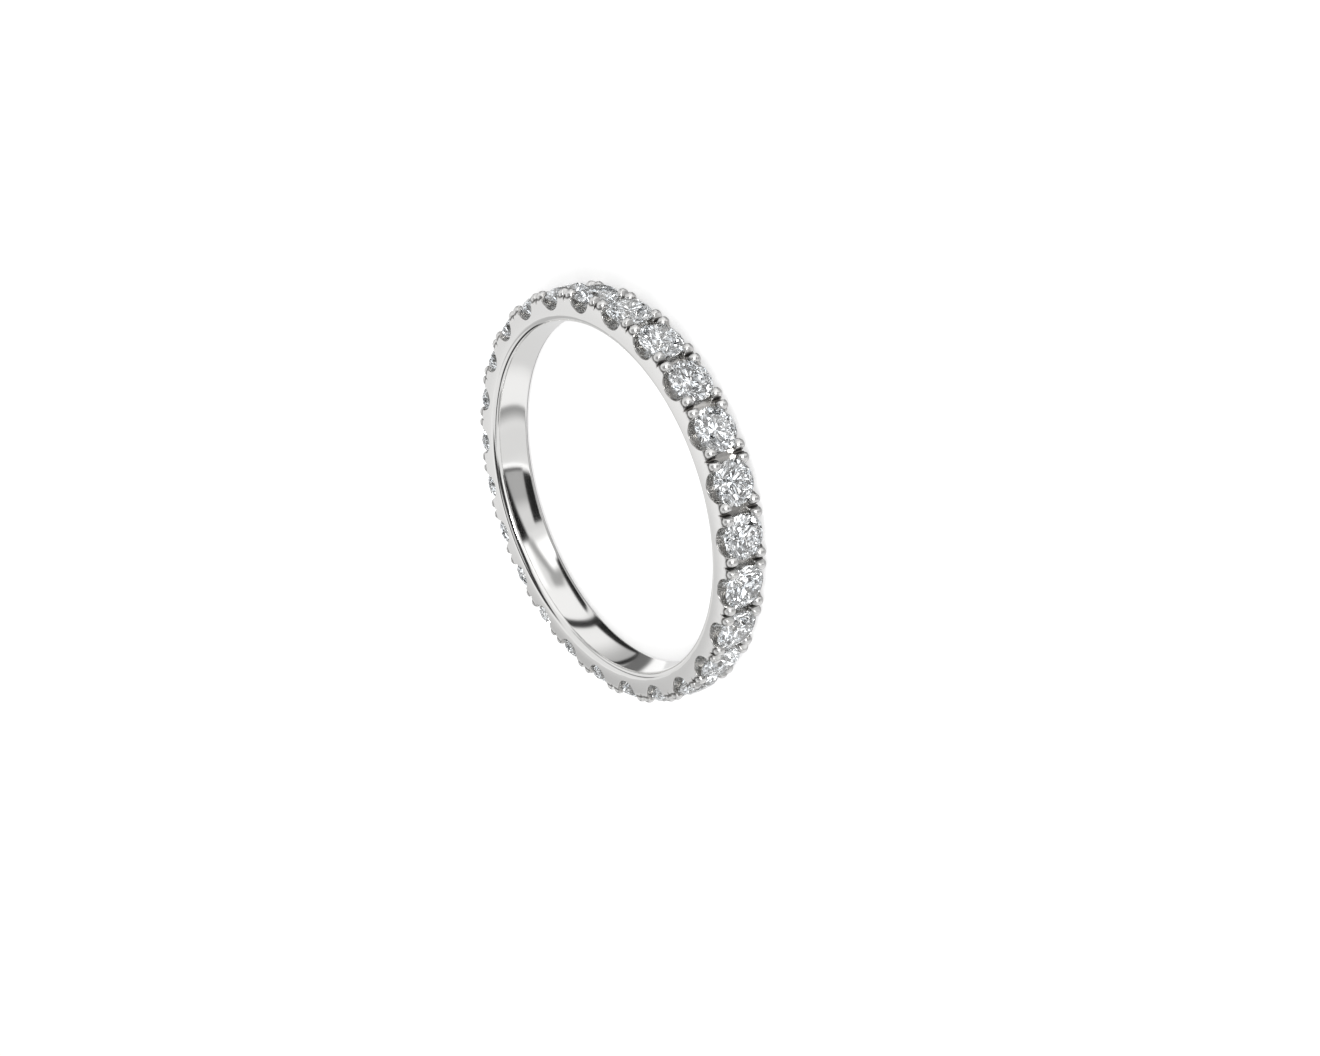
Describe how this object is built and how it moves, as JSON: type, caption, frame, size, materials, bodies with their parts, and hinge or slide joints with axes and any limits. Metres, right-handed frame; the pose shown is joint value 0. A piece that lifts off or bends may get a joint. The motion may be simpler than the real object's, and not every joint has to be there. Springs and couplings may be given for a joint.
{
  "type": "pinky ring",
  "caption": "Slim full eternity ring of polished white metal for the little finger, with small round stones in shared prongs all round.",
  "frame": {"origin": "on the axis of the finger hole, at the level of the lower side face that the ring lies on", "axes": "+Z along the axis of the finger hole, out of the upper side face; +X through the middle of stone_01"},
  "size_m": [0.0178, 0.0178, 0.0019],
  "materials": {
    "metal": "polished white metal",
    "stone": "clear, faceted, polished"
  },
  "bodies": {
    "root": {"band": "metal", "stone_01": "stone", "stone_02": "stone", "stone_03": "stone", "stone_04": "stone", "stone_05": "stone", "stone_06": "stone", "stone_07": "stone", "stone_08": "stone", "stone_09": "stone", "stone_10": "stone", "stone_11": "stone", "stone_12": "stone", "stone_13": "stone", "stone_14": "stone", "stone_15": "stone", "stone_16": "stone", "stone_17": "stone", "stone_18": "stone", "stone_19": "stone", "stone_20": "stone", "stone_21": "stone", "stone_22": "stone", "stone_23": "stone", "stone_24": "stone", "stone_25": "stone"}
  },
  "joints": []
}
